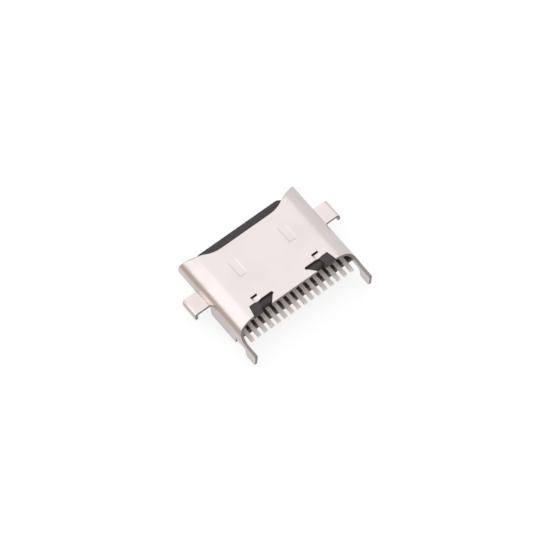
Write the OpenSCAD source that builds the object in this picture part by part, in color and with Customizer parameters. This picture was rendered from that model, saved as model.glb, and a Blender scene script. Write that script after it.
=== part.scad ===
// Mid-mount charging port: an oval reversible receptacle of sixteen contacts.
// The mouth faces -Y, the solder tails point to +Y, and the flat bottom of the shell lies on Z = 0.
// Lengths along Y are counted from the foremost edge of the shell, and placed() centres the whole.

/* [Mouth] */
// Width of the oval mouth inside the shell
mouth_w = 8.44; // [8.2:0.02:8.6]
// Height of the oval mouth inside the shell
mouth_h = 2.64; // [2.4:0.02:2.8]
// Thickness of the folded steel sheet
sheet_t = 0.2; // [0.15:0.01:0.25]
// Depth from the foremost edge to the face that stops the plug
stop_depth = 4.55; // [4.2:0.05:4.8]
// How far the top and bottom lips stand back from the foremost edge
lip_cut = 1.22; // [0.8:0.02:1.6]
// Slant of the sides of the cut that sets the lips back, seen from above
lip_slant = 33; // [28:1:38]
// Radius between the straight front and the slanted sides of that cut
lip_cut_r = 2; // [1:0.05:2.4]
// Radius of the side lips, seen from the side
side_lip_r = 1.75; // [1.65:0.05:3]

/* [Shell] */
// Length of the top of the shell
shell_l = 6.26; // [6.1:0.02:6.6]
// Length of the bottom of the shell
bottom_l = 5.56; // [4.8:0.02:5.8]
// Width of the bottom of the shell behind the side tabs
bottom_w = 6.8; // [6:0.05:7.2]
// Gap of the seam where the folded sheet closes
seam_gap = 0.04; // [0.02:0.01:0.08]
// Width of the dovetail that locks the seam, at its root
dovetail_root = 0.8; // [0.5:0.05:1.2]
// Flare of the dovetail on each side
dovetail_flare = 0.18; // [0.1:0.01:0.3]
// Reach of the dovetail across the seam
dovetail_reach = 0.6; // [0.3:0.05:1]

/* [Pressed details of the top] */
// Width of a pressed pad
pad_w = 0.64; // [0.4:0.02:0.9]
// Length of a pressed pad
pad_l = 1.46; // [1:0.02:1.8]
// Depth of a pressed pad
pad_depth = 0.05; // [0.03:0.01:0.08]
// Width of the sloping edge of a pressed pad
pad_slope = 0.12; // [0.06:0.01:0.14]
// Radius of the corners of a pressed pad
pad_r = 0.18; // [0.16:0.01:0.2]
// Distance between the middles of the two pads
pad_span = 3.74; // [3:0.02:4.4]
// Middle of the pads, from the foremost edge
pad_y = 2.9; // [2.3:0.02:3.3]
// Front edge of the two cut-outs in the rear of the top
notch_y = 5.56; // [5.4:0.02:5.7]
// Distance between the outer sides of the two cut-outs, in front
notch_span = 5.86; // [5.6:0.02:6.2]
// How far the outer side of a cut-out spreads towards the rear
notch_flare = 0.15; // [0:0.01:0.2]
// Distance between the inner ends of the two cut-outs
notch_inner_span = 2.44; // [2:0.02:2.8]
// Width of the narrow inner end of a cut-out
notch_slot = 0.22; // [0.15:0.01:0.3]
// Distance between the tips of the two barbs that reach back over the cut-outs
barb_span = 3.46; // [3.2:0.02:4]
// Width of the rounded stake that is pressed into the moulding
stake_w = 0.46; // [0.4:0.02:0.6]
// Depth of the stake at its middle
stake_depth = 0.1; // [0.06:0.01:0.14]
// Distance between the middles of the two stakes
stake_span = 4.6; // [4.4:0.02:4.8]
// Length of the stake along the shell
stake_l = 0.36; // [0.3:0.02:0.5]
// Width of the slit that frees the front of a stake
slit_w = 0.1; // [0.06:0.01:0.14]

/* [Side tabs] */
// Height of the board surface that the tabs and tails are soldered to
board_z = 1.32; // [1.2:0.01:1.35]
// Width over the two tabs
tab_span = 10.98; // [10.6:0.02:11.6]
// Length of a tab along the shell
tab_l = 1.32; // [1:0.02:1.5]
// Front edge of the tabs, from the foremost edge
tab_y = 1.86; // [1.8:0.02:2]
// Depth that the tip of a tab reaches below the board surface
tab_tip = 0.4; // [0.35:0.01:0.8]
// Inside radius of the bends
bend_r = 0.06; // [0.03:0.01:0.12]
// Slot beside a tab that lets it bend
relief = 0.1; // [0.06:0.01:0.14]

/* [Rear legs] */
// Overall length, from the foremost edge to the ends of the legs
overall_l = 7.92; // [7.6:0.02:8.4]
// Height of the lower edge of the side skirts
skirt_z = 0.51; // [0.4:0.01:0.7]
// Rear edge of the side skirts
skirt_l = 5.8; // [5.7:0.02:6]
// Height of the lower edge of the neck
neck_z = 1.16; // [1:0.01:1.25]
// Height of the upper edge of the leg
leg_top_z = 1.66; // [1.55:0.01:1.85]
// Radius that sweeps the rear of the shell into the leg
leg_sweep_r = 0.9; // [0.5:0.02:1]
// Length of the foot along its lower edge
foot_l = 0.86; // [0.6:0.02:0.96]
// Height of the lower edge of the foot
foot_z = 0.26; // [0.15:0.01:0.45]
// How far the heel leans back above its lower edge
heel_lean = 0.26; // [0.1:0.02:0.3]
// Radius of the corners of the leg
leg_corner_r = 0.14; // [0.08:0.01:0.2]

/* [Contacts] */
// Gap between neighbouring contacts on the tongue
contact_gap = 0.23; // [0.18:0.01:0.28]
// Distance from the outermost tails to the side walls
tail_margin = 0.335; // [0.25:0.005:0.45]
// Width of a contact
contact_w = 0.27; // [0.22:0.01:0.3]
// Thickness of a contact
contact_t = 0.15; // [0.1:0.01:0.16]
// Ends of the solder tails, from the foremost edge
tail_end = 6.78; // [6.6:0.02:6.9]
// Distance from the front of the tongue to the power contacts
power_setback = 0.8; // [0.7:0.05:1]
// Extra setback of the signal contacts, which mate last
signal_setback = 0.35; // [0.2:0.05:0.5]
// Distance from the faces of the mouldings to the step that a contact makes inside them
step_inset = 0.12; // [0.08:0.01:0.16]

/* [Tongue and mouldings] */
// Thickness of the tongue
tongue_t = 0.7; // [0.6:0.02:0.8]
// Plastic beside the outermost contacts
tongue_edge = 0.46; // [0.4:0.01:0.5]
// Distance from the foremost edge to the front of the tongue
tongue_setback = 0.1; // [0.04:0.02:0.4]
// Radius of the front corners of the tongue
tongue_r = 0.5; // [0.3:0.02:0.6]
// Depth of the latch notches in the sides of the tongue
latch_depth = 0.42; // [0.3:0.01:0.44]
// Length of a latch notch
latch_l = 1.2; // [0.9:0.05:1.4]
// Middle of the latch notches, from the foremost edge
latch_y = 3.25; // [2.8:0.05:3.6]
// Rear face of the upper moulding over the tails
upper_l = 5.5; // [5.45:0.01:5.6]
// Rear edge of the ledge of the upper moulding, under the top of the shell
ledge_l = 5.8; // [5.7:0.02:6]
// Thickness of that ledge
ledge_t = 0.4; // [0.3:0.02:0.5]
// Rear face of the lower moulding under the tails
lower_l = 6; // [5.8:0.02:6.1]
// Height of the ribs between the tails
rib_h = 0.1; // [0.05:0.01:0.14]
// Depth that the rear of the lower moulding reaches below the board surface
comb_t = 0.32; // [0.2:0.02:0.6]
// Width of the locking bosses that fill the cut-outs
boss_w = 0.64; // [0.5:0.02:0.8]
// Rear face of the locking bosses
boss_l = 6.14; // [6:0.02:6.2]
// Depth of the top of the bosses below the top of the shell
boss_drop = 0.03; // [0:0.01:0.1]

/* [Middle plate] */
// Thickness of the steel plate in the tongue
plate_t = 0.15; // [0.1:0.01:0.18]
// Distance from the front of the tongue to the plate
plate_setback = 0.3; // [0.2:0.02:0.5]
// Steel that stands clear of the plastic in the latch notches
plate_bare = 0.08; // [0.04:0.01:0.12]
// Distance from the stop face to the rear of the plate
plate_rear = 0.2; // [0.1:0.02:0.24]
// Diameter of the posts that locate the two mouldings
post_d = 0.6; // [0.4:0.02:0.7]
// Length of a post
post_l = 0.26; // [0.2:0.01:0.3]
// Distance between the middles of the posts
post_span = 4; // [3.6:0.05:4.2]
// Middle of the posts, from the foremost edge
post_y = 2.8; // [2:0.05:3.8]
// Clearance between the pieces
fit = 0.02; // [0.01:0.005:0.03]

/* [Hidden] */
$fn = 64;
// Cutters reach this far past the faces that they cut
over = 1;
shell_w = mouth_w + 2 * sheet_t;
shell_h = mouth_h + 2 * sheet_t;
mid_z = shell_h / 2;
wall_x = mouth_w / 2;
side_x = shell_w / 2;
inner_top = shell_h - sheet_t;
tab_top = board_z + sheet_t;
tab_rear = tab_y + tab_l;
skirt_y = tab_rear + relief;
lip_corner_y = lip_cut - lip_cut_r;
// The slanted sides of the lips' cut run out at the foremost edge, in the middle of the sheet
lip_corner_x = side_x - sheet_t / 2 - lip_cut_r * sin(lip_slant)
    - (lip_corner_y + lip_cut_r * cos(lip_slant)) / tan(lip_slant);
stake_y = notch_y - stake_l;
stake_r = (pow(stake_w / 2, 2) + pow(stake_depth, 2)) / (2 * stake_depth);
foot_y = overall_l - heel_lean - foot_l;

// The contacts in the order of their tails, each with its slot on the tongue in pitches from the middle
CONTACTS = [
    ["a1", 5.5], ["b12", 5.5], ["a4", 2.5], ["b9", 2.5],
    ["b8", 1.5], ["a5", 1.5], ["b7", 0.5], ["a6", 0.5],
    ["a7", -0.5], ["b6", -0.5], ["a8", -1.5], ["b5", -1.5],
    ["b4", -2.5], ["a9", -2.5], ["b1", -5.5], ["a12", -5.5]
];
last = len(CONTACTS) - 1;
// Slots from this one outwards carry power or ground
power_slot = 2.5;
tail_pitch = (mouth_w - 2 * tail_margin - contact_w) / last;
tongue_pitch = contact_w + contact_gap;
tongue_w = 2 * CONTACTS[0][1] * tongue_pitch + contact_w + 2 * tongue_edge;

function is_upper(contact) = contact[0][0] == "a";
function is_power(contact) = abs(contact[1]) >= power_slot;
function tail_x(i) = (last / 2 - i) * tail_pitch;

// Centres the part on its depth
module placed() {
    translate([0, -overall_l / 2, 0])
        children();
}

// Extrudes a profile drawn in X and Z from y0 to y1
module along_y(y0, y1) {
    translate([0, y1, 0])
        rotate([90, 0, 0])
            linear_extrude(y1 - y0)
                children();
}

// Extrudes a profile drawn in Y and Z from x0 to x1
module along_x(x0, x1) {
    translate([x0, 0, 0])
        rotate([90, 0, 90])
            linear_extrude(x1 - x0)
                children();
}

// Extrudes a profile drawn in X and Y from z0 to z1
module along_z(z0, z1) {
    translate([0, 0, z0])
        linear_extrude(z1 - z0)
            children();
}

module both_sides() {
    children();
    mirror([1, 0, 0])
        children();
}

// A rectangle between two opposite corners
module span(a, b) {
    translate(a)
        square(b - a);
}

// An oval with full round ends, centred on the middle of the mouth
module oval(w, h) {
    translate([0, mid_z]) {
        square([w - h, h], center = true);
        for (side = [-1, 1])
            translate([side * (w - h) / 2, 0])
                circle(d = h);
    }
}

module shell_ring() {
    difference() {
        oval(shell_w, shell_h);
        oval(mouth_w, mouth_h);
    }
}

// Section of the rear of the shell: the round upper half stands on straight side walls
module hood_ring() {
    intersection() {
        shell_ring();
        span([-side_x, mid_z], [side_x, shell_h]);
    }
    both_sides()
        span([wall_x, foot_z], [side_x, mid_z]);
}

// Outline of the side of the shell in front: the side lips are round
module side_lips() {
    translate([side_lip_r, mid_z])
        circle(r = side_lip_r);
    span([side_lip_r, 0], [shell_l, shell_h]);
}

// Outline of the cut that sets the lips back, seen from above
module lip_outline() {
    span([-lip_corner_x, -over], [lip_corner_x, lip_cut]);
    both_sides()
        translate([lip_corner_x, lip_corner_y]) {
            circle(r = lip_cut_r);
            rotate(-lip_slant)
                span([0, -side_x], [side_x, lip_cut_r]);
        }
}

// Outline of the side of the shell behind the tabs: hood, skirt, swept neck and foot
module rear_outline() {
    span([skirt_y, mid_z], [shell_l, shell_h]);
    span([skirt_y, skirt_z], [skirt_l - leg_corner_r, shell_h]);
    span([skirt_y, skirt_z + leg_corner_r], [skirt_l, shell_h]);
    translate([skirt_l - leg_corner_r, skirt_z + leg_corner_r])
        circle(r = leg_corner_r);
    span([skirt_l - leg_corner_r, neck_z], [foot_y + foot_l / 2, leg_top_z]);
    difference() {
        span([shell_l - leg_corner_r, leg_top_z], [shell_l + leg_sweep_r, leg_top_z + leg_sweep_r]);
        translate([shell_l + leg_sweep_r, leg_top_z + leg_sweep_r])
            circle(r = leg_sweep_r);
    }
    foot_outline();
}

// Spade-shaped foot at the end of a leg
module foot_outline() {
    low = foot_z + leg_corner_r;
    high = leg_top_z - leg_corner_r;
    front = foot_y + leg_corner_r;
    hull()
        for (corner = [
            [front, low],
            [foot_y + foot_l - leg_corner_r, low],
            [overall_l - leg_corner_r, high],
            [front, high]
        ])
            translate(corner)
                circle(r = leg_corner_r, $fn = 32);
}

// Section of a side tab: it bends out of the wall, lies on the board and dips through it
module tab_section() {
    root = [side_x + bend_r, tab_top + bend_r];
    tip_x = tab_span / 2;
    tip = [tip_x - sheet_t - bend_r, board_z - bend_r];
    bend(root, [-1, -1]);
    span([root[0], board_z], [tip[0], tab_top]);
    bend(tip, [1, 1]);
    span([tip_x - sheet_t, board_z - tab_tip], [tip_x, tip[1]]);
}

// A quarter turn of the sheet round a bend, on the side of its middle that the signs give
module bend(middle, signs) {
    reach = bend_r + sheet_t;
    translate(middle)
        intersection() {
            difference() {
                circle(r = reach);
                circle(r = bend_r);
            }
            scale([signs[0], signs[1]])
                square(reach);
        }
}

// A shallow pad with round corners and sloping edges, as deep as it is pressed
module pressed_pad(top) {
    corner = [pad_w / 2 - pad_r, pad_l / 2 - pad_r];
    translate([pad_span / 2, pad_y, top - pad_depth])
        hull()
            for (x = [-corner[0], corner[0]], y = [-corner[1], corner[1]])
                translate([x, y, 0])
                    cylinder(r1 = pad_r - pad_slope, r2 = pad_r, h = pad_depth, $fn = 32);
}

// Round section of a stake, pressed down from the top of the shell
module stake_circle(grow) {
    translate([stake_span / 2, shell_h + stake_r - stake_depth])
        circle(r = stake_r + grow);
}

// The part of a stake that hangs below the sheet
module stake_below(grow) {
    along_y(stake_y - grow, notch_y + grow)
        intersection() {
            stake_circle(sheet_t + grow);
            span([0, mid_z], [side_x, inner_top]);
        }
}

// Outline of a rear cut-out with its narrow round inner end and the barb behind it
module notch_outline() {
    outer = notch_span / 2;
    inner = (notch_inner_span + notch_slot) / 2;
    barb = barb_span / 2;
    translate([inner, notch_y + notch_slot / 2])
        circle(d = notch_slot);
    polygon([
        [outer, notch_y],
        [inner, notch_y],
        [inner, notch_y + notch_slot],
        [barb, shell_l],
        [barb, shell_l + over],
        [outer + notch_flare, shell_l + over],
        [outer + notch_flare, shell_l]
    ]);
}

// One edge of the bottom seam with its dovetail, moved out by a gap
module seam_edge(gap) {
    root = dovetail_root / 2 + gap;
    head = root + dovetail_flare;
    span([-over, -over], [gap, bottom_l + over]);
    translate([0, (lip_cut + bottom_l) / 2])
        polygon([
            [0, -root],
            [dovetail_reach + gap, -head],
            [dovetail_reach + gap, head],
            [0, root]
        ]);
}

module shell_front() {
    difference() {
        intersection() {
            along_y(0, shell_l)
                shell_ring();
            along_x(-side_x, side_x)
                side_lips();
        }
        both_sides() {
            along_x(bottom_w / 2, side_x + over)
                span([tab_y - relief, -over], [skirt_y, tab_top + bend_r]);
            along_x(bottom_w / 2, side_x + over)
                span([tab_rear, -over], [shell_l + over, mid_z]);
        }
        along_x(-side_x, side_x)
            span([bottom_l, -over], [shell_l + over, mid_z]);
        along_z(-over, mid_z)
            difference() {
                seam_edge(seam_gap);
                seam_edge(0);
            }
    }
}

module shell() {
    color("gainsboro")
        placed()
            difference() {
                union() {
                    shell_front();
                    intersection() {
                        along_y(skirt_y, overall_l)
                            hood_ring();
                        along_x(-side_x, side_x)
                            rear_outline();
                    }
                    both_sides() {
                        along_y(tab_y, tab_rear)
                            tab_section();
                        pressed_pad(inner_top);
                        stake_below(0);
                    }
                }
                along_z(-over, shell_h + over)
                    lip_outline();
                both_sides() {
                    pressed_pad(shell_h);
                    along_y(stake_y, notch_y)
                        stake_circle(0);
                    along_z(mid_z, shell_h + over)
                        notch_outline();
                    along_z(mid_z, shell_h + over)
                        translate([stake_span / 2 - stake_w / 2, stake_y - slit_w])
                            square([stake_w, slit_w]);
                }
            }
}

// Outline of the tongue, seen from above, with its latch notches
module tongue_outline(setback, latch_grow, rear) {
    half = tongue_w / 2;
    front = tongue_setback + setback;
    latch = [half - latch_depth + latch_grow, latch_y - latch_l / 2 + latch_grow];
    difference() {
        span([-half, front], [half, rear]);
        both_sides() {
            span(latch, latch + [latch_depth + over, latch_l - 2 * latch_grow]);
            difference() {
                span([half - tongue_r, front - over], [half + over, front + tongue_r]);
                translate([half - tongue_r, front + tongue_r])
                    circle(r = tongue_r);
            }
        }
    }
}

// Section of the mouldings where the shell holds them
module base_section() {
    oval(mouth_w - 2 * fit, mouth_h - 2 * fit);
    span([-wall_x + fit, skirt_z], [wall_x - fit, mid_z]);
}

// A length of that section between two heights
module base_block(y0, y1, z0, z1) {
    along_y(y0, y1)
        intersection() {
            base_section();
            span([-wall_x, z0], [wall_x, z1]);
        }
}

// Posts of the upper moulding that pass through the plate into the lower moulding
module posts(grow) {
    both_sides()
        translate([post_span / 2, post_y, mid_z - post_l - grow])
            cylinder(d = post_d + 2 * grow, h = post_l + grow + plate_t);
}

module all_contacts() {
    for (i = [0:last])
        contact_strip(i);
}

module upper_moulding() {
    color("dimgray")
        placed() {
            difference() {
                union() {
                    base_block(stop_depth, upper_l, mid_z, inner_top);
                    base_block(stop_depth, ledge_l, inner_top - ledge_t, inner_top);
                    along_z(mid_z, mid_z + tongue_t / 2)
                        tongue_outline(0, 0, upper_l);
                    both_sides()
                        along_z(inner_top - ledge_t, shell_h - boss_drop)
                            boss_outline();
                }
                all_contacts();
                plate_body();
                both_sides()
                    stake_below(fit);
            }
            posts(0);
        }
}

// A locking boss, seen from above: its outer side follows the cut-out
module boss_outline() {
    outer = notch_span / 2 - fit;
    spread = notch_flare * (boss_l - notch_y) / (shell_l - notch_y);
    polygon([
        [outer - boss_w, notch_y + fit],
        [outer, notch_y + fit],
        [outer + spread, boss_l],
        [outer + spread - boss_w, boss_l]
    ]);
}

module lower_moulding() {
    color("dimgray")
        placed()
            difference() {
                union() {
                    base_block(stop_depth, upper_l, sheet_t, mid_z);
                    base_block(stop_depth, lower_l, board_z - comb_t, board_z + rib_h);
                    along_z(mid_z - tongue_t / 2, mid_z)
                        tongue_outline(0, 0, upper_l);
                }
                all_contacts();
                plate_body();
                posts(fit);
            }
}

module plate_body() {
    along_z(mid_z - plate_t / 2, mid_z + plate_t / 2)
        tongue_outline(plate_setback, plate_bare, stop_depth + plate_rear);
}

module middle_plate() {
    color("silver")
        placed()
            difference() {
                plate_body();
                posts(fit);
            }
}

// A contact runs along the tongue, steps aside inside the mouldings and ends in a flat tail on the board
module contact_strip(i) {
    contact = CONTACTS[i];
    front = tongue_setback + power_setback + (is_power(contact) ? 0 : signal_setback);
    step = [stop_depth + step_inset, upper_l - step_inset];
    slot_x = contact[1] * tongue_pitch;
    seat_z = is_upper(contact) ? mid_z + tongue_t / 2 - contact_t : mid_z - tongue_t / 2;
    plan = [[front, slot_x], [step[0], slot_x], [step[1], tail_x(i)], [tail_end, tail_x(i)]];
    side = [[front, seat_z], [step[0], seat_z], [step[1], board_z], [tail_end, board_z]];
    intersection() {
        along_z(0, shell_h)
            mirror([1, -1, 0])
                translate([0, -contact_w / 2])
                    band(plan, contact_w);
        along_x(-side_x, side_x)
            band(side, contact_t);
    }
}

// A band of constant width over a line of points
module band(line, w) {
    back = [for (k = [len(line) - 1:-1:0]) line[k] + [0, w]];
    polygon(concat(line, back));
}

module contact(i) {
    color("wheat")
        placed()
            contact_strip(i);
}

shell();
upper_moulding();
lower_moulding();
middle_plate();
for (i = [0:last])
    contact(i);
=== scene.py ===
"""Finishes a mid-mount charging port and stands it in a soft white studio."""
import math

import bmesh
import bpy
from mathutils import Matrix, Vector
from mathutils.bvhtree import BVHTree


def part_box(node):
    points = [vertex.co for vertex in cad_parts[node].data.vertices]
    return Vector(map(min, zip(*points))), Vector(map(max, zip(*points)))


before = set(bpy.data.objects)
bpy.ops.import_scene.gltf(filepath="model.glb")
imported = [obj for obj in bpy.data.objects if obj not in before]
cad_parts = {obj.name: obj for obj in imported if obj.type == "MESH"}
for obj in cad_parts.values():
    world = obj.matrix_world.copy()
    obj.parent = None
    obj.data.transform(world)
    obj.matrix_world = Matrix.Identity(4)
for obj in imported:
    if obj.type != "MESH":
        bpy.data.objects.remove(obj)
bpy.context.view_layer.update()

bl_info = {
    "name": "Charging Port Finishes",
    "version": (1, 0, 0),
    "blender": (4, 5, 0),
    "location": "3D View > Sidebar > Port",
    "description": "Gives the pieces of a charging port their finishes and sets up the studio",
    "category": "Material",
}

MM = 0.001
CONTACT_NODES = sorted(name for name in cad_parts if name.startswith("contact_"))
MOULDING_NODES = ["upper_moulding", "lower_moulding"]

# Faces that meet closer than this gap are one surface, unless they meet at more than the sharp angle
JOIN_GAP = 0.0005 * MM
SHARP_ANGLE = math.radians(16)
EDGE_SEGMENTS = 3
# The far side of the sheet lies within this many thicknesses of a face, and within this angle of parallel
THICKNESS_SLACK = 1.35
PARALLEL_ANGLE = math.radians(25)
# A face belongs to the oval where it lies within this angle and this distance of the oval's surface
OVAL_ANGLE = math.radians(20)
OVAL_SLACK = 0.012 * MM
# Far longer than the port, in metres
ENDLESS = 1000
# Most values of a noise pattern lie in this range
PATTERN_RANGE = {"From Min": 0.3, "From Max": 0.7}
# The line between the gold and the tin strays this far to either side, and is blurred by this much
PLATING_STRAY = 0.1 * MM
PLATING_BLUR = 0.05 * MM

WHITE = (1, 1, 1, 1)
SENSOR_MM = 36
# The camera sees from one millimetre to this far, in metres
FAR_CLIP = 6
# The card lies this far above the floor, so that the two don't share a plane
FLAG_LIFT = 0.1 * MM
# Each soft light: its place, its width and height, all in millimetres, and the setting of its brightness
PANELS = (
    ("top_panel", (-32, -30, 150), (325, 260), "top_radiance"),
    ("left_panel", (140, -75, 66), (83, 150), "left_radiance"),
    ("side_panel", (155, 36, 66), (175, 150), "side_radiance"),
    ("edge_panel", (79, -75, 130), (150, 34), "edge_radiance"),
    ("right_panel", (-152, -42, 47), (300, 98), "right_radiance"),
    ("front_panel", (0, -160, 70), (200, 120), "front_radiance"),
    ("rear_panel", (0, 155, 93), (240, 85), "rear_radiance"),
)


def linear(hex_colour):
    """Turns an sRGB hex value such as #e8e0dc into linear red, green and blue, as the sRGB standard does."""
    channels = [int(hex_colour[i:i + 2], 16) / 255 for i in (1, 3, 5)]
    return [c / 12.92 if c <= 0.04045 else ((c + 0.055) / 1.055) ** 2.4 for c in channels]


def colour(name, description, hex_colour):
    """A colour that the user can change."""
    return bpy.props.FloatVectorProperty(
        name=name,
        description=description,
        subtype="COLOR",
        size=4,
        min=0,
        max=1,
        default=(*linear(hex_colour), 1),
    )


def length(name, description, millimetres):
    """A length that the user can change."""
    return bpy.props.FloatProperty(
        name=name, description=description, unit="LENGTH", default=millimetres * MM, precision=6
    )


def angle(name, description, degrees):
    """An angle that the user can change."""
    return bpy.props.FloatProperty(
        name=name, description=description, subtype="ANGLE", default=math.radians(degrees)
    )


def factor(name, description, default):
    """A roughness or a brightness that the user can change."""
    return bpy.props.FloatProperty(name=name, description=description, subtype="FACTOR", default=default)


class PortFinishes(bpy.types.PropertyGroup):
    """Colours, gloss and edges of the pieces."""

    steel: colour("Shell", "Nickel plating on the faces of the shell", "#f0e7e5")
    steel_dull: colour("Shell, dull", "Duller patches of the plating", "#ebe1de")
    steel_cut: colour("Shell, cut edge", "Steel on the sheared edges of the sheet", "#9f9792")
    steel_roughness: factor("Shell roughness", "Roughness of the plated sheet", 0.25)
    cut_roughness: factor("Cut edge roughness", "Roughness of the sheared edges", 0.45)
    sheet_t: length("Sheet thickness", "Faces with more steel than this behind them are sheared edges", 0.2)
    rim_depth: length("Rim depth", "Cut edges this near the front are the rim, coined and plated", 1.3)
    flat_w: length("Flat of the shell", "Width of the flat top between the round sides of the oval", 5.8)
    polymer: colour("Mouldings", "Black moulded polymer", "#322628")
    polymer_fibre: colour("Mouldings, fibre", "Paler skin where fibre lies near the surface", "#463c3e")
    polymer_roughness: factor("Moulding roughness", "Roughness of the moulded skin", 0.5)
    plate: colour("Middle plate", "Bare steel strip in the tongue", "#b8b2ae")
    plate_roughness: factor("Plate roughness", "Roughness of the steel strip", 0.3)
    tin: colour("Tails", "Matte tin on the solder tails", "#fff9f4")
    gold: colour("Contacts", "Gold on the mating faces", "#e6c27a")
    tin_roughness: factor("Tail roughness", "Roughness of the matte tin", 0.85)
    gold_roughness: factor("Contact roughness", "Roughness of the gold", 0.4)
    sheet_edge_r: length("Sheet edge", "Radius of the stamped edges", 0.02)
    moulded_edge_r: length("Moulded edge", "Radius of the moulded edges", 0.015)
    contact_edge_r: length("Contact edge", "Radius of the edges of the contacts and the plate", 0.02)


class PortStudio(bpy.types.PropertyGroup):
    """Camera, floor and light."""

    azimuth: angle("Azimuth", "Turn of the camera round the port", 154.05)
    elevation: angle("Elevation", "Height of the camera over the horizon", 60.53)
    roll: angle("Roll", "Turn of the camera about its own axis", -12.15)
    distance: length("Distance", "Distance of the camera from its target", 500)
    frame_w: length("Frame width", "Width that the picture takes in at the target", 33.328)
    target_x: length("Target X", "Point in the middle of the picture", 0.06)
    target_y: length("Target Y", "Point in the middle of the picture", 0.088)
    target_z: length("Target Z", "Point in the middle of the picture", 1.52)
    floor_w: length("Floor", "Side of the square floor", 600)
    floor: colour("Floor colour", "Matte grey floor, which its lift brings to white", "#909090")
    floor_lift: factor("Floor lift", "Light that the camera sees the floor give off", 0.8)
    floor_glow: factor("Floor glow", "Light that reflections see the floor give off", 0.5)
    flag: colour("Flag", "Warm grey card that only reflections see", "#c4b7ae")
    flag_near: length("Flag distance", "Distance of the card from the middle of the port", 7)
    flag_w: length("Flag size", "Side of the square card", 34)
    room: colour("Room", "Dim room behind the panels", "#a6a5a5")
    top_radiance: factor("Top panel", "Brightness that the panel overhead adds to the room", 0.63)
    left_radiance: factor("Left panel", "Brightness that the panel at the left of the picture adds", 0.84)
    side_radiance: factor("Side panel", "Brightness that the panel behind the left one adds", 0.45)
    edge_radiance: factor("Edge panel", "Brightness that the strip over the left panel adds", 0.25)
    right_radiance: factor("Right panel", "Brightness that the panel at the right of the picture adds", 0.4)
    front_radiance: factor("Front panel", "Brightness that the panel in front of the mouth adds", 0.3)
    rear_radiance: factor("Rear panel", "Brightness that the panel behind the tails adds", 0.7)


def add_node(tree, kind, inputs=None, **settings):
    """Adds a node with its settings, and sets or links its inputs, which go by name or by number."""
    node = tree.nodes.new(kind)
    for name, value in settings.items():
        setattr(node, name, value)
    for name, value in (inputs or {}).items():
        by_name = (s for s in node.inputs if s.name == name and s.enabled)
        socket = node.inputs[name] if isinstance(name, int) else next(by_name)
        if isinstance(value, bpy.types.Node):
            value = next(s for s in value.outputs if s.enabled)
        if isinstance(value, bpy.types.NodeSocket):
            tree.links.new(value, socket)
        else:
            socket.default_value = value
    return node


def start_material(name):
    """An empty material and its node tree."""
    material = bpy.data.materials.new(name)
    material.use_nodes = True
    material.node_tree.nodes.clear()
    return material, material.node_tree


def grain(tree, size_mm, detail=3, seed=0):
    """A pattern whose grains measure the given millimetres along X, Y and Z."""
    place = add_node(tree, "ShaderNodeTexCoord").outputs["Object"]
    per_metre = [1 / (size * MM) for size in size_mm]
    scaled = add_node(
        tree,
        "ShaderNodeMapping",
        {"Vector": place, "Scale": per_metre, "Location": (seed, seed, seed)},
    )
    noise = add_node(tree, "ShaderNodeTexNoise", {"Vector": scaled, "Scale": 1, "Detail": detail})
    return noise.outputs["Fac"]


def plated_steel(finishes):
    """Cold-rolled stainless sheet with satin nickel plating.

    The eye gets a soft warm mirror with faint rolling lines and slightly duller patches.
    """
    material, tree = start_material("nickel_plated_rolled_steel")
    patches = grain(tree, size_mm=(2.5, 2.5, 2.5), detail=2)
    # Real rolling lines lie about 0.02 mm apart, and are drawn coarser so that they show
    lines = grain(tree, size_mm=(3, 0.07, 0.07), seed=4)
    # The pickled grain of the sheet is finer than 0.02 mm, and is drawn coarser so that it shows
    pickle = grain(tree, size_mm=(0.05, 0.05, 0.05), detail=2, seed=9)
    dull = add_node(tree, "ShaderNodeMapRange", {"Value": patches, "From Min": 0.4, "From Max": 0.7})
    tone = add_node(
        tree,
        "ShaderNodeMix",
        {"Factor": dull, "A": finishes.steel, "B": finishes.steel_dull},
        data_type="RGBA",
    )
    middle = finishes.steel_roughness
    gloss = add_node(
        tree,
        "ShaderNodeMapRange",
        {"Value": patches, **PATTERN_RANGE, "To Min": middle - 0.02, "To Max": middle + 0.03},
    )
    rolled = add_node(tree, "ShaderNodeBump", {"Height": lines, "Strength": 0.12, "Distance": 0.002 * MM})
    bump = add_node(
        tree,
        "ShaderNodeBump",
        {"Height": pickle, "Strength": 0.1, "Distance": 0.002 * MM, "Normal": rolled},
    )
    shader = add_node(
        tree,
        "ShaderNodeBsdfPrincipled",
        {"Base Color": tone, "Roughness": gloss, "Normal": bump, "Metallic": 1},
    )
    add_node(tree, "ShaderNodeOutputMaterial", {"Surface": shader})
    return material


def sheared_steel(finishes):
    """Stainless steel where the punch sheared the sheet, without plating.

    The eye gets an edge that is duller and browner than the faces, with short marks across it.
    """
    material, tree = start_material("sheared_stainless_edge")
    # Real shear marks lie about 0.01 mm apart, and are drawn coarser so that they show
    marks = grain(tree, size_mm=(0.05, 0.05, 0.3), seed=2)
    bump = add_node(tree, "ShaderNodeBump", {"Height": marks, "Strength": 0.3, "Distance": 0.004 * MM})
    middle = finishes.cut_roughness
    gloss = add_node(
        tree,
        "ShaderNodeMapRange",
        {"Value": marks, **PATTERN_RANGE, "To Min": middle - 0.08, "To Max": middle + 0.08},
    )
    shader = add_node(
        tree,
        "ShaderNodeBsdfPrincipled",
        {"Base Color": finishes.steel_cut, "Roughness": gloss, "Normal": bump, "Metallic": 1},
    )
    add_node(tree, "ShaderNodeOutputMaterial", {"Surface": shader})
    return material


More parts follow.
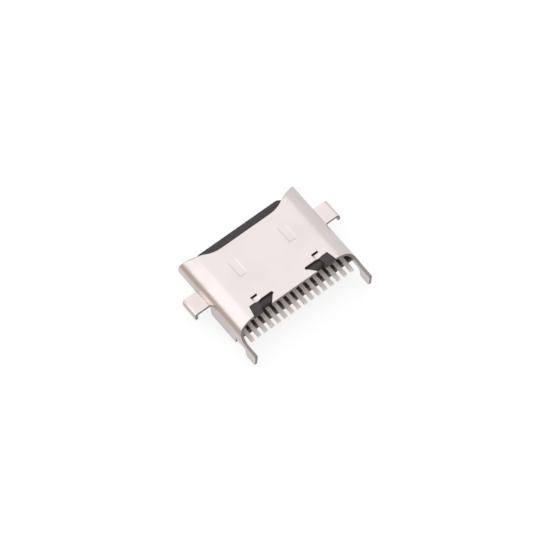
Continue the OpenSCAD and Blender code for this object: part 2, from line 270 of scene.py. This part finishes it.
def moulded_polymer(finishes):
    """Glass-filled liquid crystal polymer, injection moulded.

    The eye gets a dark satin skin with paler flow streaks and specks of fibre.
    """
    material, tree = start_material("black_glass_filled_polymer")
    flow = grain(tree, size_mm=(1.2, 0.3, 0.3), detail=4, seed=3)
    # Real glass fibres are about 0.01 mm thick, and are drawn coarser so that they show
    fibre = grain(tree, size_mm=(0.14, 0.04, 0.04), detail=2, seed=7)
    streaks = add_node(
        tree, "ShaderNodeMapRange", {"Value": flow, "From Min": 0.45, "From Max": 0.75, "To Max": 0.5}
    )
    specks = add_node(
        tree, "ShaderNodeMapRange", {"Value": fibre, "From Min": 0.55, "From Max": 0.75, "To Max": 0.5}
    )
    paleness = add_node(tree, "ShaderNodeMath", {0: streaks, 1: specks}, operation="ADD")
    tone = add_node(
        tree,
        "ShaderNodeMix",
        {"Factor": paleness, "A": finishes.polymer, "B": finishes.polymer_fibre},
        data_type="RGBA",
    )
    middle = finishes.polymer_roughness
    gloss = add_node(
        tree,
        "ShaderNodeMapRange",
        {"Value": flow, **PATTERN_RANGE, "To Min": middle - 0.06, "To Max": middle + 0.08},
    )
    bump = add_node(tree, "ShaderNodeBump", {"Height": fibre, "Strength": 0.25, "Distance": 0.004 * MM})
    shader = add_node(
        tree,
        "ShaderNodeBsdfPrincipled",
        {"Base Color": tone, "Roughness": gloss, "Normal": bump, "IOR": 1.65},
    )
    add_node(tree, "ShaderNodeOutputMaterial", {"Surface": shader})
    return material


def steel_strip(finishes):
    """Bare stainless strip, blanked and polished.

    The eye gets a grey mirror with fine drawing lines along the strip.
    """
    material, tree = start_material("bare_stainless_strip")
    # Real drawing lines lie about 0.01 mm apart, and are drawn coarser so that they show
    lines = grain(tree, size_mm=(0.05, 2, 0.05), seed=5)
    bump = add_node(tree, "ShaderNodeBump", {"Height": lines, "Strength": 0.12, "Distance": 0.002 * MM})
    middle = finishes.plate_roughness
    gloss = add_node(
        tree,
        "ShaderNodeMapRange",
        {"Value": lines, **PATTERN_RANGE, "To Min": middle - 0.05, "To Max": middle + 0.08},
    )
    shader = add_node(
        tree,
        "ShaderNodeBsdfPrincipled",
        {"Base Color": finishes.plate, "Roughness": gloss, "Normal": bump, "Metallic": 1},
    )
    add_node(tree, "ShaderNodeOutputMaterial", {"Surface": shader})
    return material


def plated_contact(finishes, plating_end):
    """Copper alloy strip, gold flashed on the mating face and tinned on the tail.

    The eye gets satin gold in the mouth and pale matte tin behind, with a soft line between the two.
    """
    material, tree = start_material("gold_and_tin_plated_copper")
    wander = grain(tree, size_mm=(0.3, 0.3, 0.3), seed=6)
    # The crystals of the tin are a few thousandths of a millimetre, and are drawn coarser so that they show
    mottle = grain(tree, size_mm=(0.12, 0.12, 0.12), seed=8)
    place = add_node(tree, "ShaderNodeTexCoord").outputs["Object"]
    along = add_node(tree, "ShaderNodeSeparateXYZ", {"Vector": place}).outputs["Y"]
    stray = add_node(
        tree, "ShaderNodeMapRange", {"Value": wander, "To Min": -PLATING_STRAY, "To Max": PLATING_STRAY}
    )
    edge = add_node(tree, "ShaderNodeMath", {0: stray, 1: along}, operation="ADD")
    tinned = add_node(
        tree,
        "ShaderNodeMapRange",
        {"Value": edge, "From Min": plating_end - PLATING_BLUR, "From Max": plating_end + PLATING_BLUR},
    )
    plating = add_node(
        tree, "ShaderNodeMix", {"Factor": tinned, "A": finishes.gold, "B": finishes.tin}, data_type="RGBA"
    )
    dullness = add_node(
        tree,
        "ShaderNodeMapRange",
        {"Value": tinned, "To Min": finishes.gold_roughness, "To Max": finishes.tin_roughness},
    )
    uneven = add_node(
        tree, "ShaderNodeMapRange", {"Value": mottle, **PATTERN_RANGE, "To Min": -0.06, "To Max": 0.08}
    )
    gloss = add_node(tree, "ShaderNodeMath", {0: uneven, 1: dullness}, operation="ADD")
    bump = add_node(tree, "ShaderNodeBump", {"Height": mottle, "Strength": 0.15, "Distance": 0.003 * MM})
    shader = add_node(
        tree,
        "ShaderNodeBsdfPrincipled",
        {"Base Color": plating, "Roughness": gloss, "Normal": bump, "Metallic": 1},
    )
    add_node(tree, "ShaderNodeOutputMaterial", {"Surface": shader})
    return material


def floor_board(studio):
    """Grey board with a matte tooth and no gloss.

    Light that it gives off to the camera makes it white where the port doesn't shade it, and light that
    it gives off to reflections makes the metal show a pale floor.
    """
    material, tree = start_material("matte_grey_board")
    tooth = grain(tree, size_mm=(0.4, 0.4, 0.4))
    bump = add_node(tree, "ShaderNodeBump", {"Height": tooth, "Strength": 0.05, "Distance": 0.01 * MM})
    matte = add_node(tree, "ShaderNodeBsdfDiffuse", {"Color": studio.floor, "Normal": bump})
    rays = add_node(tree, "ShaderNodeLightPath").outputs
    seen = add_node(
        tree, "ShaderNodeMath", {0: rays["Is Camera Ray"], 1: studio.floor_lift}, operation="MULTIPLY"
    )
    lift = add_node(
        tree,
        "ShaderNodeMath",
        {0: rays["Is Glossy Ray"], 1: studio.floor_glow, 2: seen},
        operation="MULTIPLY_ADD",
    )
    glow = add_node(tree, "ShaderNodeEmission", {"Strength": lift})
    both = add_node(tree, "ShaderNodeAddShader", {0: matte, 1: glow})
    add_node(tree, "ShaderNodeOutputMaterial", {"Surface": both})
    return material


def grey_card(studio):
    """Warm grey card with a faint nap and no gloss."""
    material, tree = start_material("warm_grey_card")
    nap = grain(tree, size_mm=(0.5, 0.5, 0.5))
    bump = add_node(tree, "ShaderNodeBump", {"Height": nap, "Strength": 0.1, "Distance": 0.02 * MM})
    matte = add_node(tree, "ShaderNodeBsdfDiffuse", {"Color": studio.flag, "Normal": bump})
    add_node(tree, "ShaderNodeOutputMaterial", {"Surface": matte})
    return material


def finish_node(name, materials, edge_r):
    """Gives a solid its materials, rounds its sharp edges and smooths its curves."""
    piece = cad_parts[name]
    piece.data.materials.clear()
    for material in materials:
        piece.data.materials.append(material)
    piece.data.shade_smooth()
    weld = piece.modifiers.new("join_faces", "WELD")
    weld.merge_threshold = JOIN_GAP
    edges = piece.modifiers.new("round_edges", "BEVEL")
    edges.width = edge_r
    edges.segments = EDGE_SEGMENTS
    edges.limit_method = "ANGLE"
    edges.angle_limit = SHARP_ANGLE
    edges.use_clamp_overlap = False
    edges.loop_slide = False
    shading = piece.modifiers.new("shade_large_faces_flat", "WEIGHTED_NORMAL")
    shading.mode = "FACE_AREA"
    return piece


def has_sheet_behind(face, tree, sheet_t):
    """Tells whether the far side of the sheet lies parallel behind a face, one thickness away."""
    inward = -face.normal
    start = face.calc_center_median() + inward * JOIN_GAP
    far_side = tree.ray_cast(start, inward, THICKNESS_SLACK * sheet_t)[1]
    return far_side is not None and far_side.dot(inward) > math.cos(PARALLEL_ANGLE)


def mark_sheared_faces(piece, sheet_t, rim_depth):
    """Gives the second material to the surfaces that cut across the sheet, apart from the mouth's rim."""
    rim_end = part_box(piece.name)[0].y + rim_depth
    solid = bmesh.new()
    solid.from_mesh(piece.data)
    number = solid.faces.layers.int.new("number")
    for face in solid.faces:
        face[number] = face.index
    bmesh.ops.remove_doubles(solid, verts=solid.verts, dist=JOIN_GAP)
    tree = BVHTree.FromBMesh(solid)
    waiting = set(solid.faces)
    while waiting:
        surface = [waiting.pop()]
        # The list grows as faces beside the surface join it
        for face in surface:
            for edge in face.edges:
                if edge.calc_face_angle() < SHARP_ANGLE:
                    beside = waiting.intersection(edge.link_faces)
                    waiting -= beside
                    surface.extend(beside)
        whole_area = sum(face.calc_area() for face in surface)
        skin_area = sum(face.calc_area() for face in surface if has_sheet_behind(face, tree, sheet_t))
        is_rim = all(face.calc_center_median().y < rim_end for face in surface)
        is_cut = not is_rim and skin_area < whole_area / 2
        for face in surface:
            piece.data.polygons[face[number]].material_index = int(is_cut)
    solid.free()


def oval_shading(finishes):
    """Geometry nodes that shade the folded sheet as the true oval, however its triangles lie."""
    low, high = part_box("shell")
    mid_z = (low.z + high.z) / 2
    half_flat = finishes.flat_w / 2
    half_t = finishes.sheet_t / 2
    middle_r = mid_z - half_t
    group = bpy.data.node_groups.new("true_oval_shading", "GeometryNodeTree")
    group.interface.new_socket("Mesh", in_out="INPUT", socket_type="NodeSocketGeometry")
    group.interface.new_socket("Mesh", in_out="OUTPUT", socket_type="NodeSocketGeometry")
    source = add_node(group, "NodeGroupInput")
    place = add_node(group, "GeometryNodeInputPosition")
    faces = add_node(group, "GeometryNodeInputNormal").outputs
    # The sheet lies at one radius from the middle plane of the oval, which is as wide as its flat
    left_end = (-half_flat, -ENDLESS, mid_z)
    right_end = (half_flat, ENDLESS, mid_z)
    inside_left = add_node(group, "ShaderNodeVectorMath", {0: place, 1: left_end}, operation="MAXIMUM")
    middle = add_node(group, "ShaderNodeVectorMath", {0: inside_left, 1: right_end}, operation="MINIMUM")
    radius = add_node(group, "ShaderNodeVectorMath", {0: place, 1: middle}, operation="SUBTRACT")
    outward = add_node(group, "ShaderNodeVectorMath", {0: radius}, operation="NORMALIZE")
    facing = add_node(
        group, "ShaderNodeVectorMath", {0: outward, 1: faces["True Normal"]}, operation="DOT_PRODUCT"
    )
    # Inner faces take the normal that points the other way
    side = add_node(group, "ShaderNodeMath", {0: facing}, operation="SIGN")
    oval_normal = add_node(group, "ShaderNodeVectorMath", {0: outward, "Scale": side}, operation="SCALE")
    level = add_node(group, "ShaderNodeMath", {0: facing}, operation="ABSOLUTE")
    is_level = add_node(
        group, "ShaderNodeMath", {0: level, 1: math.cos(OVAL_ANGLE)}, operation="GREATER_THAN"
    )
    distance = add_node(group, "ShaderNodeVectorMath", {0: radius}, operation="LENGTH")
    off_middle = add_node(group, "ShaderNodeMath", {0: distance, 1: middle_r}, operation="SUBTRACT")
    depth = add_node(group, "ShaderNodeMath", {0: off_middle}, operation="ABSOLUTE")
    is_skin = add_node(group, "ShaderNodeMath", {0: depth, 1: half_t, 2: OVAL_SLACK}, operation="COMPARE")
    is_oval = add_node(group, "ShaderNodeMath", {0: is_level, 1: is_skin}, operation="MULTIPLY")
    normal = add_node(
        group,
        "GeometryNodeSwitch",
        {"Switch": is_oval, "False": faces["Normal"], "True": oval_normal},
        input_type="VECTOR",
    )
    shaded = add_node(
        group,
        "GeometryNodeSetMeshNormal",
        {"Mesh": source, "Custom Normal": normal},
        mode="FREE",
        domain="CORNER",
    )
    add_node(group, "NodeGroupOutput", {"Mesh": shaded})
    return group


class PORT_OT_shell(bpy.types.Operator):
    """Finish the folded shell."""

    bl_idname = "port.finish_shell"
    bl_label = "Finish Shell"

    def execute(self, context):
        finishes = context.scene.port_finishes
        steels = [plated_steel(finishes), sheared_steel(finishes)]
        shell = finish_node("shell", steels, finishes.sheet_edge_r)
        mark_sheared_faces(shell, finishes.sheet_t, finishes.rim_depth)
        shell.modifiers.new("true_oval_shading", "NODES").node_group = oval_shading(finishes)
        return {"FINISHED"}


class PORT_OT_mouldings(bpy.types.Operator):
    """Finish the two mouldings that hold the contacts."""

    bl_idname = "port.finish_mouldings"
    bl_label = "Finish Mouldings"

    def execute(self, context):
        finishes = context.scene.port_finishes
        polymer = moulded_polymer(finishes)
        for name in MOULDING_NODES:
            finish_node(name, [polymer], finishes.moulded_edge_r)
        return {"FINISHED"}


class PORT_OT_middle_plate(bpy.types.Operator):
    """Finish the steel plate in the tongue."""

    bl_idname = "port.finish_middle_plate"
    bl_label = "Finish Middle Plate"

    def execute(self, context):
        finishes = context.scene.port_finishes
        finish_node("middle_plate", [steel_strip(finishes)], finishes.contact_edge_r)
        return {"FINISHED"}


class PORT_OT_contacts(bpy.types.Operator):
    """Finish the sixteen contacts."""

    bl_idname = "port.finish_contacts"
    bl_label = "Finish Contacts"

    def execute(self, context):
        finishes = context.scene.port_finishes
        plating_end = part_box("middle_plate")[1].y
        plating = plated_contact(finishes, plating_end)
        for name in CONTACT_NODES:
            finish_node(name, [plating], finishes.contact_edge_r)
        return {"FINISHED"}


def add_floor(studio):
    """A square floor under the port."""
    bpy.ops.mesh.primitive_plane_add(size=studio.floor_w)
    floor = bpy.context.object
    floor.name = "floor"
    floor.data.materials.append(floor_board(studio))


def add_flag(studio):
    """A card on the floor at the picture's left, which draws a brown line along the side of the shell."""
    middle_x = studio.flag_near + studio.flag_w / 2
    bpy.ops.mesh.primitive_plane_add(size=studio.flag_w, location=(middle_x, 0, FLAG_LIFT))
    flag = bpy.context.object
    flag.name = "flag"
    flag.data.materials.append(grey_card(studio))
    flag.visible_camera = False
    flag.visible_diffuse = False
    flag.visible_shadow = False


def add_room(studio):
    """A dim room that lights the port, and that the camera sees as white."""
    world = bpy.data.worlds.new("dim_studio")
    world.use_nodes = True
    tree = world.node_tree
    tree.nodes.clear()
    seen = add_node(tree, "ShaderNodeLightPath").outputs["Is Camera Ray"]
    light = add_node(tree, "ShaderNodeMix", {"Factor": seen, "A": studio.room, "B": WHITE}, data_type="RGBA")
    room = add_node(tree, "ShaderNodeBackground", {"Color": light})
    add_node(tree, "ShaderNodeOutputWorld", {"Surface": room})
    bpy.context.scene.world = world


def add_panel(name, place_mm, size_mm, radiance):
    """A soft light that faces the port, with a width, a height and a brightness."""
    place = Vector(place_mm) * MM
    width, height = (side * MM for side in size_mm)
    data = bpy.data.lights.new(name, "AREA")
    data.shape = "RECTANGLE"
    data.size = width
    data.size_y = height
    data.energy = radiance * math.pi * width * height
    panel = bpy.data.objects.new(name, data)
    panel.location = place
    panel.rotation_euler = place.to_track_quat("Z", "Y").to_euler()
    panel.visible_camera = False
    bpy.context.scene.collection.objects.link(panel)


def add_camera(studio):
    """A camera that looks at the target from the given angles."""
    target = Vector((studio.target_x, studio.target_y, studio.target_z))
    turn = Matrix.Rotation(studio.azimuth, 4, "Z")
    tilt = Matrix.Rotation(math.radians(90) - studio.elevation, 4, "X")
    roll = Matrix.Rotation(studio.roll, 4, "Z")
    back = Matrix.Translation((0, 0, studio.distance))
    data = bpy.data.cameras.new("camera")
    data.sensor_width = SENSOR_MM
    data.lens = SENSOR_MM * studio.distance / studio.frame_w
    data.clip_start = MM
    data.clip_end = FAR_CLIP
    camera = bpy.data.objects.new("camera", data)
    camera.matrix_world = Matrix.Translation(target) @ turn @ tilt @ roll @ back
    bpy.context.scene.collection.objects.link(camera)
    bpy.context.scene.camera = camera


class PORT_OT_stage(bpy.types.Operator):
    """Set up the floor, the light and the camera."""

    bl_idname = "port.set_stage"
    bl_label = "Set Stage"

    def execute(self, context):
        studio = context.scene.port_studio
        add_floor(studio)
        add_flag(studio)
        add_room(studio)
        for name, place_mm, size_mm, setting in PANELS:
            add_panel(name, place_mm, size_mm, getattr(studio, setting))
        add_camera(studio)
        context.scene.view_settings.view_transform = "Standard"
        return {"FINISHED"}


STEPS = (PORT_OT_shell, PORT_OT_mouldings, PORT_OT_middle_plate, PORT_OT_contacts, PORT_OT_stage)


class PORT_PT_panel(bpy.types.Panel):
    """Lists the finishing steps and their settings."""

    bl_idname = "PORT_PT_panel"
    bl_label = "Charging Port"
    bl_space_type = "VIEW_3D"
    bl_region_type = "UI"
    bl_category = "Port"

    def draw(self, context):
        for step in STEPS:
            self.layout.operator(step.bl_idname)
        for group in (context.scene.port_finishes, context.scene.port_studio):
            box = self.layout.box()
            for name in group.__annotations__:
                box.prop(group, name)


CLASSES = (PortFinishes, PortStudio, *STEPS, PORT_PT_panel)


def register():
    """Adds the classes and their settings to Blender."""
    for cls in CLASSES:
        bpy.utils.register_class(cls)
    bpy.types.Scene.port_finishes = bpy.props.PointerProperty(type=PortFinishes)
    bpy.types.Scene.port_studio = bpy.props.PointerProperty(type=PortStudio)


def unregister():
    """Takes the settings and the classes out again."""
    del bpy.types.Scene.port_studio
    del bpy.types.Scene.port_finishes
    for cls in reversed(CLASSES):
        bpy.utils.unregister_class(cls)


def main():
    register()
    bpy.ops.port.finish_shell()
    bpy.ops.port.finish_mouldings()
    bpy.ops.port.finish_middle_plate()
    bpy.ops.port.finish_contacts()
    bpy.ops.port.set_stage()
    bpy.context.view_layer.update()


if __name__ == "__main__":
    main()
